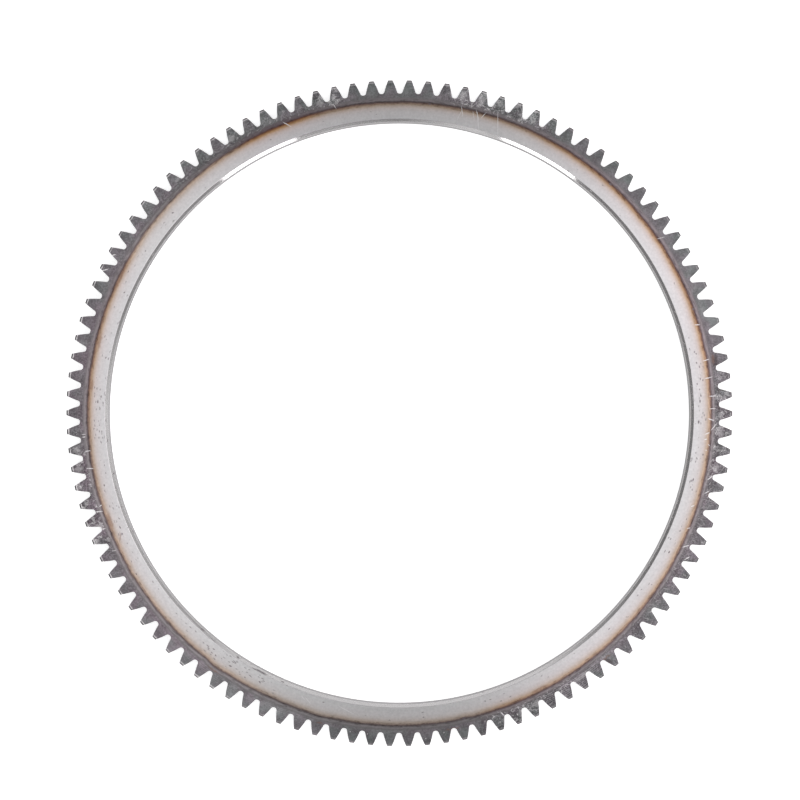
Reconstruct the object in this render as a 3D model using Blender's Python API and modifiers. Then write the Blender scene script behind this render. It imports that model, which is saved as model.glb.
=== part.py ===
"""Flywheel ring gear: one steel ring that shrinks onto a flywheel's rim and carries the starter's teeth.

It is made here in the order a workshop makes it. A blank is turned with its chamfers, and the tooth
spaces are then cut right across it. The ring lies on its rear face, its axis is +Z, and the front face
is up. Lengths are in metres.
"""

import math

import bmesh
import bpy

# Teeth, of full-depth involute form
MODULE = 0.003
TEETH = 110
PRESSURE_ANGLE = math.radians(20.0)
ADDENDUM_PER_MODULE = 1.0
DEDENDUM_PER_MODULE = 1.25
TOOTH_THINNING = 0.0001  # taken off each tooth at the pitch circle, for backlash
ROOT_FILLET_RADIUS = 0.0013

# Ring
FACE_WIDTH = 0.014
RIM_DEPTH = 0.01425  # solid metal between the tooth roots and the bore

# Turned chamfers, as (radial, axial) lengths
FRONT_TIP_CHAMFER = (0.0008, 0.0008)
REAR_TIP_CHAMFER = (0.0024, 0.0014)  # the side that the starter pinion slides in from
FRONT_BORE_CHAMFER = (0.0015, 0.0015)
REAR_BORE_CHAMFER = (0.0006, 0.0006)

# Fineness of the facets
FLANK_SEGMENTS = 3
FILLET_SEGMENTS = 3
BLANK_STEPS_PER_TOOTH = 2
CUTTER_OVERRUN = 0.002  # how far the tooth cutter passes the blank on every side
MERGE_DISTANCE = 0.000005
SHARP_ANGLE = math.radians(20.0)  # edges that turn further than this stay crisp

STEEL_COLOUR = (0.42, 0.41, 0.42, 1.0)
STEEL_ROUGHNESS = 0.45

PITCH_RADIUS = MODULE * TEETH / 2
BASE_RADIUS = PITCH_RADIUS * math.cos(PRESSURE_ANGLE)
TIP_RADIUS = PITCH_RADIUS + ADDENDUM_PER_MODULE * MODULE
ROOT_RADIUS = PITCH_RADIUS - DEDENDUM_PER_MODULE * MODULE
BORE_RADIUS = ROOT_RADIUS - RIM_DEPTH
PITCH_ANGLE = 2 * math.pi / TEETH


def involute(radius):
    """The involute function of the pressure angle that the flank has at this radius."""
    angle = math.acos(BASE_RADIUS / radius)
    return math.tan(angle) - angle


def flank_angle(radius):
    """Angle from a tooth's centre line to its flank at this radius."""
    at_pitch = PITCH_ANGLE / 4 - TOOTH_THINNING / (2 * PITCH_RADIUS)
    return at_pitch + involute(PITCH_RADIUS) - involute(radius)


def polar(radius, angle):
    return (radius * math.cos(angle), radius * math.sin(angle))


def fillet_points():
    """The root fillet's arc, from the root circle up to the flank, beside a tooth centred on +X.

    A curve beside an involute at a constant distance is the same involute turned about the centre.
    The fillet's own centre lies on such a curve, so its place needs no search.
    """
    centre_radius = ROOT_RADIUS + ROOT_FILLET_RADIUS
    centre_angle = flank_angle(centre_radius) + ROOT_FILLET_RADIUS / BASE_RADIUS
    flank_reach = math.sqrt(centre_radius**2 - BASE_RADIUS**2) - ROOT_FILLET_RADIUS
    flank_radius = math.hypot(BASE_RADIUS, flank_reach)

    centre = polar(centre_radius, centre_angle)
    on_flank = polar(flank_radius, flank_angle(flank_radius))
    from_root = centre_angle - math.pi
    from_flank = math.atan2(on_flank[1] - centre[1], on_flank[0] - centre[0])
    points = []
    for step in range(FILLET_SEGMENTS + 1):
        turn = from_root + (from_flank - from_root) * step / FILLET_SEGMENTS
        points.append(
            (
                centre[0] + ROOT_FILLET_RADIUS * math.cos(turn),
                centre[1] + ROOT_FILLET_RADIUS * math.sin(turn),
            )
        )
    return points, flank_radius


def half_tooth_outline():
    """One side of a tooth centred on +X, from the root circle out past the blank's tip."""
    points, flank_radius = fillet_points()
    outer_radius = TIP_RADIUS + CUTTER_OVERRUN / 2
    for step in range(1, FLANK_SEGMENTS + 1):
        radius = flank_radius + (outer_radius - flank_radius) * step / FLANK_SEGMENTS
        points.append(polar(radius, flank_angle(radius)))
    return points


def gear_outline():
    """All the teeth in the plane, with a tooth centred on +X, going anticlockwise."""
    leading = half_tooth_outline()
    trailing = [(x, -y) for x, y in leading]
    tooth = trailing + leading[::-1]
    outline = []
    for index in range(TEETH):
        turn = index * PITCH_ANGLE
        cos_turn, sin_turn = math.cos(turn), math.sin(turn)
        for x, y in tooth:
            outline.append((x * cos_turn - y * sin_turn, x * sin_turn + y * cos_turn))
    return outline


def blank_profile():
    """The blank's cross-section as (radius, height), down the outside and up the bore."""
    front, rear = FACE_WIDTH, 0.0
    tip_front, tip_rear = FRONT_TIP_CHAMFER, REAR_TIP_CHAMFER
    bore_front, bore_rear = FRONT_BORE_CHAMFER, REAR_BORE_CHAMFER
    return [
        (TIP_RADIUS - tip_front[0], front),
        (TIP_RADIUS, front - tip_front[1]),
        (TIP_RADIUS, rear + tip_rear[1]),
        (TIP_RADIUS - tip_rear[0], rear),
        (BORE_RADIUS + bore_rear[0], rear),
        (BORE_RADIUS, rear + bore_rear[1]),
        (BORE_RADIUS, front - bore_front[1]),
        (BORE_RADIUS + bore_front[0], front),
    ]


def clear_scene():
    for obj in list(bpy.data.objects):
        bpy.data.objects.remove(obj, do_unlink=True)


def new_collection(name):
    collection = bpy.data.collections.new(name)
    bpy.context.scene.collection.children.link(collection)
    return collection


def steel_material():
    material = bpy.data.materials.new("ring_steel")
    material.use_nodes = True
    shader = material.node_tree.nodes["Principled BSDF"]
    shader.inputs["Base Color"].default_value = STEEL_COLOUR
    shader.inputs["Metallic"].default_value = 1.0
    shader.inputs["Roughness"].default_value = STEEL_ROUGHNESS
    return material


def turned_blank(collection):
    """The toothless ring: its cross-section turned about Z.

    The facets' edges stand a quarter of a tooth away from +X, so none of them runs along a corner of
    the tooth outline.
    """
    profile = blank_profile()
    turn = PITCH_ANGLE / (2 * BLANK_STEPS_PER_TOOTH)
    points = [(*polar(radius, turn), height) for radius, height in profile]
    edges = [(i, (i + 1) % len(points)) for i in range(len(points))]
    mesh = bpy.data.meshes.new("blank_section")
    mesh.from_pydata(points, edges, [])

    blank = bpy.data.objects.new("ring_gear", mesh)
    collection.objects.link(blank)
    screw = blank.modifiers.new("turn", "SCREW")
    screw.axis = "Z"
    screw.angle = 2 * math.pi
    screw.steps = TEETH * BLANK_STEPS_PER_TOOTH
    screw.render_steps = screw.steps
    screw.use_merge_vertices = True
    screw.merge_threshold = MERGE_DISTANCE
    screw.use_smooth_shade = False
    return blank


def evaluated_mesh(obj):
    """The object's shape as it stands, with its modifiers, as a mesh of its own."""
    bpy.context.view_layer.update()
    evaluated = obj.evaluated_get(bpy.context.evaluated_depsgraph_get())
    return bpy.data.meshes.new_from_object(evaluated)


def closed(mesh):
    """Welds a filled curve's loose caps on, and turns every face outwards."""
    shape = bmesh.new()
    shape.from_mesh(mesh)
    bmesh.ops.remove_doubles(shape, verts=shape.verts, dist=MERGE_DISTANCE)
    bmesh.ops.recalc_face_normals(shape, faces=shape.faces)
    shape.to_mesh(mesh)
    shape.free()


def tooth_cutter(collection):
    """A gear-shaped bar through the blank: what lies outside it is cut away as tooth spaces."""
    curve = bpy.data.curves.new("tooth_outline", "CURVE")
    curve.dimensions = "2D"
    curve.fill_mode = "BOTH"
    curve.extrude = FACE_WIDTH / 2 + CUTTER_OVERRUN
    outline = gear_outline()
    spline = curve.splines.new("POLY")
    spline.points.add(len(outline) - 1)
    for point, (x, y) in zip(spline.points, outline):
        point.co = (x, y, 0.0, 1.0)
    spline.use_cyclic_u = True

    bar = bpy.data.objects.new("tooth_outline", curve)
    collection.objects.link(bar)
    bar.location.z = FACE_WIDTH / 2
    mesh = evaluated_mesh(bar)
    closed(mesh)

    cutter = bpy.data.objects.new("tooth_cutter", mesh)
    collection.objects.link(cutter)
    cutter.matrix_world = bar.matrix_world
    cutter.hide_render = True
    cutter.display_type = "WIRE"
    bpy.data.objects.remove(bar, do_unlink=True)
    return cutter


def cut_teeth(blank, cutter):
    """Cuts the tooth spaces, and shades the round surfaces smooth up to their edges."""
    cut = blank.modifiers.new("cut_teeth", "BOOLEAN")
    cut.operation = "INTERSECT"
    cut.solver = "EXACT"
    cut.object = cutter
    mesh = evaluated_mesh(blank)
    blank.modifiers.clear()
    blank.data = mesh
    mesh.name = "ring_gear"
    mesh.shade_smooth()
    mesh.set_sharp_from_angle(angle=SHARP_ANGLE)
    mesh.materials.clear()
    mesh.materials.append(steel_material())


def main():
    clear_scene()
    parts = new_collection("flywheel_ring_gear")
    cutters = new_collection("cutters")
    cut_teeth(turned_blank(parts), tooth_cutter(cutters))


main()
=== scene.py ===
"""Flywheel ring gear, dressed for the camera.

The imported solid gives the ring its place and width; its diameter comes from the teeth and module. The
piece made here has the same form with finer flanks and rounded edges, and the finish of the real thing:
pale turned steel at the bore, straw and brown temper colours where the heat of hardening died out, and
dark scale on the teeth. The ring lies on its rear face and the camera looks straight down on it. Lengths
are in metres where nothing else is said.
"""

import math

import bmesh
import bpy
from bpy.props import FloatProperty, FloatVectorProperty, IntProperty, PointerProperty
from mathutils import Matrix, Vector


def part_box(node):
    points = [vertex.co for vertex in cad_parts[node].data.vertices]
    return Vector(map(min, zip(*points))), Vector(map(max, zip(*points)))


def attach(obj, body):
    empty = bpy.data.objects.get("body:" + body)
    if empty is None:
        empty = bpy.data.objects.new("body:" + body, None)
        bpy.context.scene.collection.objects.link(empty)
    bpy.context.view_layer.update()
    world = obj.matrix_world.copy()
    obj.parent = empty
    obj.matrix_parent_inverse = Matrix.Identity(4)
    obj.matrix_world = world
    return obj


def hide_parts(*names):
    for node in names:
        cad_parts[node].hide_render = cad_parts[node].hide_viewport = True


bl_info = {
    "name": "Flywheel Ring Gear",
    "version": (1, 0, 0),
    "blender": (4, 5, 0),
    "location": "3D View > Sidebar > Ring Gear",
    "description": "Models, finishes and lights a flywheel ring gear",
    "category": "Object",
}

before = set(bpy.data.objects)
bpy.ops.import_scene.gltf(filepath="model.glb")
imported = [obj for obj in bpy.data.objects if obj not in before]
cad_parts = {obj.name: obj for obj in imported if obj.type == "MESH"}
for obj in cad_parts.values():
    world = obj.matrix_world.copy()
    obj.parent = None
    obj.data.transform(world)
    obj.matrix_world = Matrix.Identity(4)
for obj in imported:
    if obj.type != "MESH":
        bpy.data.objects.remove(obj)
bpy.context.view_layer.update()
NODE = "ring_gear"
NODE_LOW, NODE_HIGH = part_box(NODE)

MM = 0.001
DEDENDUM_PER_MODULE = 1.25
MERGE_DISTANCE = 0.000004
SEEN_AS_FLAT = 0.95  # a face whose normal's height is above this is one of the flat faces
SEAM_TOLERANCE = 0.001  # as a share of half a tooth's angle
BORE_ZONE = 2 * MM  # the faces of the bore and its chamfers end within this of its wall
SHARP_ANGLE = math.radians(20.0)  # edges that turn further than this are rounded

SWIRL_RADIUS = 150.0  # mm, where the swirl's lengths round the ring are true
MM_PER_DEGREE = 2.74  # along the turn, at the middle of the flat face
RAMP_STOPS = 31  # marks that share a ramp, which holds 32 stops at most
RAMP_STEP = 360 / 255  # degrees, how finely a ramp round the ring can change
RAMP_MM = 1000.0  # a length that stands for 1 in a ramp
RAGGED_EDGE = 0.2  # degrees by which a mark's edge may reach past its own size
CUTTER_LINE_PITCH = 0.9  # mm between the fine lines on some teeth
SCRATCH_LINES = ((0.35, 2.4, 0.2), (1.25, 1.6, 0.18), (2.1, 3.2, 0.2), (2.75, 1.8, 0.2))  # radians, mm, mm
ACROSS_THE_GRAIN = 0.25  # of a turn, from the way that the lathe's marks run
NODE_ROWS = 5  # how a tree's nodes are laid out in the editor
NODE_SPACING = (180.0, 160.0)

# Zones of the flat faces, as two radii in mm: where each is absent, and where it has its full strength.
PITS_END = (155.5, 154.0)
BAND_START = (155.2, 156.4)
PALE_LINE_START = (157.5, 158.3)
BAND_END = (159.5, 158.5)
SCRATCHES_START = (157.8, 159.8)
SCALE_START = (159.0, 160.3)
TEETH_START = (160.6, 161.6)
RIM_TO_TIP = (159.5, 167.5)
# The next three place the tips' worn edge, which also carries a painted highlight, and the painted shade
# outside it on the front tip chamfer.
WORN_HIGHLIT_TIPS_START = (166.65, 166.9)
CHAMFER_BARE_END = (167.4, 167.2)  # on the front tip chamfer, as the next one
CHAMFER_DARK_START = (167.3, 167.5)

# How deep the bump of each kind of mark is, in metres.
LATHE_DEPTH = 0.000004
BORE_LATHE_DEPTH = 0.000005
CUTTER_DEPTH = 0.00002
SCRATCH_DEPTH = 0.00002
CRUST_DEPTH = 0.00003
PIT_DEPTH = 0.00003

# Colours of marks, and tints that a colour is multiplied by.
BARED_STEEL = (0.8, 0.78, 0.79, 1.0)
# The next two colours go on the front tip chamfer: bright worn steel that is also a painted highlight, and
# dark painted shade beside it.
WORN_HIGHLIT_EDGE = (0.85, 0.83, 0.84, 1.0)
PAINTED_SHADE_EDGE = (0.045, 0.04, 0.042, 1.0)
FACE_PIT = (0.17, 0.145, 0.155, 1.0)
BORE_PIT = (0.12, 0.1, 0.11, 1.0)
DARK_STAIN = (0.07, 0.052, 0.052, 1.0)
BROWN_STAIN = (0.27, 0.16, 0.12, 1.0)
FLANK_TINT = (0.8, 0.79, 0.8, 1.0)
GREENISH_TINT = (0.97, 1.0, 0.985, 1.0)
REDDISH_TINT = (1.035, 0.965, 1.01, 1.0)
GREY_TINT = (0.99, 1.005, 1.0, 1.0)
VIOLET_TINT = (1.045, 0.945, 1.0, 1.0)
TOWARDS_TIP = ((0.0, (1.0, 1.0, 1.0)), (0.5, (0.91, 0.96, 0.95)), (1.0, (0.85, 0.9, 0.89)))
CHARRING = ((0.4, 1.0), (0.52, 0.93), (0.66, 0.55))  # by a noise, in the temper band

# The stage: two lamps that face the ring's axis from the side, low over the floor, and the floor.
STRIPS = (("left_strip", 241.5), ("right_strip", 298.8))  # degrees anticlockwise from +X
STRIP_SIZE = (0.27, 0.24)
STRIP_DISTANCE = 1.0
STRIP_HEIGHT = 0.12
FLOOR_SIZE = 6.0
FLOOR_DROP = 0.0002  # below the ring, so that the two don't share a plane
PAPER = (0.8, 0.8, 0.8, 1.0)
WHITE = (1.0, 1.0, 1.0, 1.0)

# The colours that the heat of hardening left on the flat faces, by radius in mm, from bare steel to scale.
TEMPER_COLOURS = (
    (150.0, (0.652, 0.640, 0.650)),
    (152.5, (0.638, 0.608, 0.612)),
    (154.0, (0.615, 0.558, 0.545)),
    (155.0, (0.560, 0.470, 0.418)),
    (155.8, (0.470, 0.355, 0.275)),
    (156.4, (0.345, 0.240, 0.176)),
    (156.9, (0.225, 0.150, 0.118)),
    (157.35, (0.116, 0.080, 0.076)),
    (157.75, (0.150, 0.124, 0.130)),
    (158.3, (0.262, 0.230, 0.242)),
    (158.8, (0.262, 0.236, 0.246)),
    (159.5, (0.204, 0.186, 0.194)),
    (160.5, (0.215, 0.208, 0.214)),
)

# Where round the ring, in degrees anticlockwise from +X, each mark is strong (1) or absent (0).
BAND_BULGES = (  # how far the band stands outwards, from -1 mm (0) to +1 mm (1)
    (0.0, 0.5), (60.0, 0.46), (82.0, 0.33), (104.0, 0.33), (125.0, 0.5), (209.4, 0.5), (209.9, 0.74),
    (211.2, 0.72), (212.0, 0.5), (232.0, 0.52), (232.6, 0.9), (235.6, 0.92), (236.6, 0.54), (252.8, 0.56),
    (253.8, 0.8), (256.4, 0.8), (258.4, 0.6), (280.5, 0.62), (281.3, 0.45), (283.0, 0.47), (284.0, 0.6),
    (300.0, 0.5), (360.0, 0.5),
)
SCRATCHED = (
    (0.0, 1.0), (8.0, 0.75), (13.0, 0.06), (58.0, 0.04), (64.0, 0.9), (80.0, 0.9), (84.0, 0.1),
    (98.0, 0.1), (101.0, 1.0), (106.0, 0.9), (109.0, 0.35), (112.0, 0.65), (136.0, 0.6), (150.0, 0.35),
    (166.0, 0.25), (184.0, 0.6), (188.0, 0.95), (204.0, 0.95), (208.0, 0.3), (230.0, 0.1), (250.0, 0.03),
    (284.0, 0.05), (289.0, 0.85), (297.0, 0.7), (299.0, 0.35), (306.0, 0.4), (322.0, 0.5), (342.0, 0.55),
    (350.0, 0.9), (360.0, 0.9),
)
CURLED = (
    (0.0, 0.8), (6.0, 0.5), (9.0, 0.0), (62.0, 0.0), (65.0, 0.8), (72.0, 1.0), (80.0, 1.0), (83.0, 0.0),
    (100.0, 0.0), (103.0, 0.8), (107.0, 0.2), (112.0, 0.6), (136.0, 0.3), (140.0, 0.0), (284.0, 0.0),
    (288.0, 1.0), (303.0, 0.9), (308.0, 0.2), (320.0, 0.5), (342.0, 0.5), (350.0, 0.8), (360.0, 0.8),
)
CUTTER_LINES = (
    (0.0, 0.0), (72.0, 0.0), (75.0, 0.6), (79.0, 0.6), (81.0, 0.0), (228.0, 0.0), (231.0, 0.4),
    (236.0, 0.4), (239.0, 0.15), (252.0, 0.25), (256.0, 0.1), (290.0, 0.0), (298.0, 1.0), (307.0, 1.0),
    (309.5, 0.0), (360.0, 0.0),
)
PITTED = (
    (0.0, 0.42), (10.0, 0.32), (15.0, 0.03), (136.0, 0.03), (140.0, 0.1), (164.0, 0.14), (170.0, 0.3),
    (204.0, 0.34), (208.0, 0.14), (228.0, 0.2), (231.0, 0.55), (243.0, 0.5), (249.0, 0.05), (284.0, 0.03),
    (288.0, 0.14), (302.0, 0.1), (308.0, 0.05), (330.0, 0.08), (334.0, 0.26), (350.0, 0.36),
    (360.0, 0.42),
)
CHAMFER_PITTED = (
    (0.0, 0.06), (13.0, 0.05), (14.0, 0.3), (18.5, 0.3), (20.0, 0.03), (170.0, 0.03), (180.0, 0.25),
    (206.0, 0.25), (222.0, 0.15), (238.0, 0.2), (240.0, 0.5), (247.0, 0.4), (250.0, 0.04), (322.0, 0.03),
    (328.0, 0.2), (340.0, 0.06), (360.0, 0.06),
)
# Worn tips that also carry a painted highlight: strong where light fell on them, from about 60 to 240
# degrees, and faint elsewhere.
TIPS_WORN_AND_HIGHLIT = (
    (0.0, 0.2), (60.0, 0.2), (64.0, 0.75), (83.0, 0.75), (88.0, 0.3), (93.0, 0.3), (97.0, 0.7),
    (158.0, 0.75), (165.0, 1.0), (206.0, 1.0), (212.0, 0.8), (236.0, 0.7), (240.0, 0.2), (250.0, 0.12),
    (360.0, 0.2),
)
FAINT_DARK_LINE = (  # where the dark line of the band is faint
    (0.0, 1.0), (14.0, 0.8), (19.0, 0.15), (44.0, 0.1), (46.0, 0.0), (120.0, 0.0), (128.0, 0.7),
    (134.0, 1.0), (149.0, 1.0), (153.0, 0.1), (190.0, 0.4), (196.0, 0.9), (240.0, 0.9), (246.0, 0.3),
    (290.0, 0.4), (300.0, 0.9), (360.0, 1.0),
)
FAINT_PALE_LINE = (  # where the pale line outside the dark one is faint
    (0.0, 0.25), (10.0, 0.25), (20.0, 0.0), (45.0, 0.0), (60.0, 0.1), (82.0, 0.0), (97.0, 0.0),
    (112.0, 0.7), (130.0, 0.82), (145.0, 0.6), (157.0, 0.16), (170.0, 0.0), (190.0, 0.0), (217.0, 0.25),
    (232.0, 0.2), (247.0, 0.0), (262.0, 0.12), (280.0, 0.36), (292.0, 0.24), (307.0, 0.56), (323.0, 0.52),
    (337.0, 0.2), (360.0, 0.25),
)
# Partly the band's own colour, partly painted light: the low values round 240 to 290 degrees stand for the
# greyer light that fell there.
STRAW_RICHNESS = (  # how strong the straw and brown are: 0.5 is as in the table, 1 twice as saturated
    (0.0, 0.5), (15.0, 0.64), (60.0, 0.64), (66.0, 0.5), (90.0, 0.42), (104.0, 0.5), (108.0, 0.75),
    (118.0, 0.75), (122.0, 0.5), (136.0, 0.36), (148.0, 0.4), (152.0, 0.55), (176.0, 0.55), (186.0, 0.45),
    (204.0, 0.45), (214.0, 0.4), (238.0, 0.38), (248.0, 0.3), (284.0, 0.34), (290.0, 0.56), (300.0, 0.5),
    (360.0, 0.5),
)

SCALE_SHADE = (  # how light the scale is: 0.5 is as mixed from its two colours
    (0.0, 0.53), (22.0, 0.585), (38.0, 0.52), (52.0, 0.44), (68.0, 0.5), (82.0, 0.54), (97.0, 0.46),
    (112.0, 0.46), (128.0, 0.41), (142.0, 0.53), (158.0, 0.46), (172.0, 0.455), (187.0, 0.51),
    (217.0, 0.565), (232.0, 0.625), (248.0, 0.645), (258.0, 0.49), (292.0, 0.49), (302.0, 0.67),
    (310.0, 0.69), (318.0, 0.525), (350.0, 0.56), (360.0, 0.53),
)
TOOTH_SHADE = (  # how light the teeth are beside the rim: 0.5 is the same
    (0.0, 0.53), (8.0, 0.56), (30.0, 0.52), (45.0, 0.54), (55.0, 0.57), (67.0, 0.6), (82.0, 0.51),
    (97.0, 0.53), (112.0, 0.57), (128.0, 0.57), (142.0, 0.63), (157.0, 0.49), (172.0, 0.57),
    (185.0, 0.46), (203.0, 0.44), (217.0, 0.56), (247.0, 0.52), (262.0, 0.47), (277.0, 0.46),
    (292.0, 0.5), (307.0, 0.37), (322.0, 0.5), (337.0, 0.56), (350.0, 0.46), (360.0, 0.53),
)
SCALE_VIOLET = (  # where the scale is violet, and where it is a plain grey
    (0.0, 0.6), (22.0, 0.2), (52.0, 0.0), (68.0, 0.25), (97.0, 0.05), (128.0, 0.25), (142.0, 0.5),
    (158.0, 0.5), (172.0, 1.0), (210.0, 1.0), (232.0, 0.5), (248.0, 0.45), (258.0, 0.0), (278.0, 0.2),
    (292.0, 0.55), (318.0, 0.3), (338.0, 1.0), (350.0, 0.9), (360.0, 0.6),
)

# Single marks: where they are in degrees round the ring and radius in mm, their length and width in mm,
# and their lean from the radius in degrees.
BARE_MARKS = (
    (0.9, 158.0, 3.0, 0.36, 3), (3.2, 158.2, 3.6, 0.36, 0), (6.6, 156.7, 3.6, 0.5, 7),
    (9.9, 157.0, 3.0, 0.45, 8), (16.6, 156.8, 2.4, 0.44, -14), (33.9, 158.8, 4.0, 0.23, -20),
    (71.3, 154.2, 11.0, 0.29, 19), (74.9, 151.8, 9.2, 0.35, 21), (75.4, 155.6, 5.0, 0.32, 30),
    (74.3, 156.0, 4.0, 0.29, -25), (76.1, 154.8, 4.0, 0.29, 25), (78.3, 155.2, 6.0, 0.29, 20),
    (78.7, 153.2, 5.0, 0.29, -15), (102.0, 158.2, 3.0, 0.36, 20), (111.3, 156.2, 4.9, 0.45, 40),
    (151.1, 164.7, 2.2, 0.42, 42), (154.2, 165.4, 4.2, 0.5, 39), (183.9, 159.6, 1.9, 0.36, 0),
    (184.4, 159.6, 1.9, 0.36, 4), (187.0, 158.3, 2.8, 0.43, 0), (190.2, 158.5, 3.6, 0.47, -13),
    (197.3, 157.8, 1.6, 0.44, 20), (198.2, 159.6, 4.0, 0.47, -14), (201.4, 160.7, 3.0, 0.43, -12),
    (205.8, 159.8, 2.0, 0.36, -15), (252.4, 152.0, 5.0, 0.29, 58), (251.4, 151.6, 3.0, 0.29, 60),
    (260.0, 152.2, 10.5, 0.32, 72), (261.3, 162.5, 0.5, 0.44, 0), (264.4, 162.6, 0.45, 0.42, 0),
    (274.7, 164.6, 0.5, 0.44, 0), (278.0, 162.6, 0.5, 0.44, 0), (289.0, 160.4, 2.8, 0.6, 25),
    (333.3, 162.4, 3.3, 0.44, 55), (335.2, 159.4, 3.6, 0.44, 41), (338.4, 157.0, 1.6, 0.36, 40),
    (342.5, 155.1, 1.8, 0.47, 35), (345.7, 160.2, 2.8, 0.42, 42), (348.3, 160.0, 3.2, 0.5, 47),
    (355.2, 155.0, 1.4, 0.47, 20), (353.2, 155.8, 0.9, 0.5, 10), (354.2, 156.9, 1.0, 0.4, -30),
    (356.3, 155.6, 2.4, 0.47, 25), (357.6, 158.8, 4.5, 0.42, 52), (358.9, 157.2, 3.2, 0.43, -18),
)
PITS = (
    (2.4, 151.7, 1.7, 0.6, 88), (3.4, 152.3, 1.2, 0.6, 95), (4.6, 151.9, 0.9, 0.4, 90),
    (6.3, 154.0, 1.1, 0.5, 80), (6.6, 152.7, 1.3, 0.4, 100), (5.7, 150.9, 1.0, 0.5, 90),
    (9.7, 152.0, 1.0, 0.5, 95), (11.4, 152.6, 0.9, 0.5, 120), (11.8, 151.9, 0.9, 0.5, 80),
    (12.5, 149.9, 1.4, 0.35, 90), (138.6, 152.6, 1.1, 0.6, 60), (147.5, 152.0, 0.7, 0.5, 90),
    (156.4, 151.5, 1.0, 0.5, 60), (177.9, 152.2, 1.7, 0.5, 90), (193.8, 153.2, 1.2, 0.6, 95),
    (202.3, 152.2, 1.6, 0.5, 90), (203.6, 152.6, 1.2, 0.6, 70), (211.5, 155.5, 1.0, 0.5, 90),
    (236.3, 153.4, 1.6, 0.5, 100), (332.8, 153.0, 1.3, 0.6, 90), (236.5, 150.9, 2.6, 0.34, 92),
    (236.6, 150.3, 2.4, 0.3, 84), (236.9, 149.7, 1.6, 0.34, 86), (230.6, 152.0, 1.7, 0.36, 90),
    (231.0, 152.6, 1.1, 0.4, 90), (231.9, 151.4, 1.3, 0.36, 95), (232.9, 153.3, 1.1, 0.5, 70),
    (240.5, 152.4, 2.2, 0.34, 80), (242.6, 152.6, 1.3, 0.5, 90), (243.2, 151.4, 1.3, 0.4, 90),
    (332.6, 150.9, 1.6, 0.4, 90), (347.3, 151.9, 1.8, 0.6, 90), (347.0, 151.0, 1.4, 0.5, 90),
    (352.3, 154.5, 1.0, 0.6, 90), (358.4, 151.0, 1.6, 0.8, 90), (19.6, 157.1, 1.2, 0.8, 90),
    (47.4, 157.0, 1.6, 0.8, 90), (84.5, 156.6, 1.2, 0.7, 90), (282.0, 157.2, 1.8, 0.9, 90),
)
CHAMFER_PITS = (
    (4.2, 147.95, 7.0, 0.35, 90), (14.5, 147.0, 9.0, 0.5, 90), (17.4, 147.2, 2.4, 0.6, 90),
    (226.0, 148.0, 14.0, 0.3, 90), (227.8, 147.6, 3.4, 0.7, 92), (230.6, 148.1, 4.0, 0.4, 88),
    (236.6, 147.7, 1.6, 0.9, 90), (242.0, 148.0, 7.0, 0.8, 90), (240.5, 148.3, 3.0, 0.5, 90),
    (246.6, 147.9, 2.0, 0.6, 90), (181.4, 148.1, 2.0, 0.5, 90), (185.4, 147.9, 2.0, 0.6, 90),
    (192.0, 147.3, 1.2, 1.0, 90), (194.8, 147.9, 2.2, 0.5, 90), (198.7, 147.9, 1.6, 0.6, 90),
    (204.0, 147.2, 1.6, 0.7, 90), (328.6, 147.0, 3.0, 0.6, 90), (343.5, 147.0, 2.4, 0.4, 90),
)
BROWN_STAINS = (
    (9.9, 160.5, 5.0, 1.2, 88), (154.5, 156.2, 11.0, 1.2, 90), (166.5, 155.4, 8.0, 1.4, 90),
    (175.0, 155.6, 6.0, 1.2, 92), (200.5, 155.6, 9.0, 1.8, 86), (204.0, 154.2, 5.0, 0.7, 66),
    (234.2, 159.9, 7.0, 0.6, 90), (255.6, 161.2, 3.2, 0.8, 90), (279.6, 161.4, 6.0, 0.9, 92),
    (310.3, 161.4, 5.0, 0.9, 90), (345.3, 161.0, 2.2, 0.7, 90), (297.0, 155.9, 8.0, 0.9, 90),
)
RUBBED_PATCHES = (
    (72.0, 164.0, 3.4, 2.6, 0), (75.4, 163.8, 3.8, 3.4, 0), (78.7, 163.6, 4.4, 3.8, 0),
    (104.4, 161.4, 3.0, 3.2, 0), (121.5, 162.4, 2.6, 3.6, 0), (133.0, 162.8, 2.6, 4.6, 0),
    (186.6, 163.8, 4.0, 2.8, 0), (189.9, 164.2, 4.0, 2.6, 0), (201.0, 163.4, 5.0, 3.4, 0),
    (292.4, 163.6, 3.4, 3.6, 0), (295.4, 162.0, 2.4, 5.6, 0), (304.6, 161.6, 2.2, 9.0, 0),
    (350.2, 162.0, 2.4, 4.0, 0), (356.8, 162.2, 2.6, 5.0, 0),
)
DARK_STAINS = (
    (9.4, 161.6, 8.0, 2.2, 86), (4.6, 161.4, 5.0, 1.6, 95), (1.0, 161.0, 4.0, 1.4, 90),
    (310.0, 163.4, 4.0, 3.0, 40), (129.0, 162.4, 1.6, 0.9, 30), (302.6, 163.6, 4.0, 3.0, 60),
)

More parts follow.
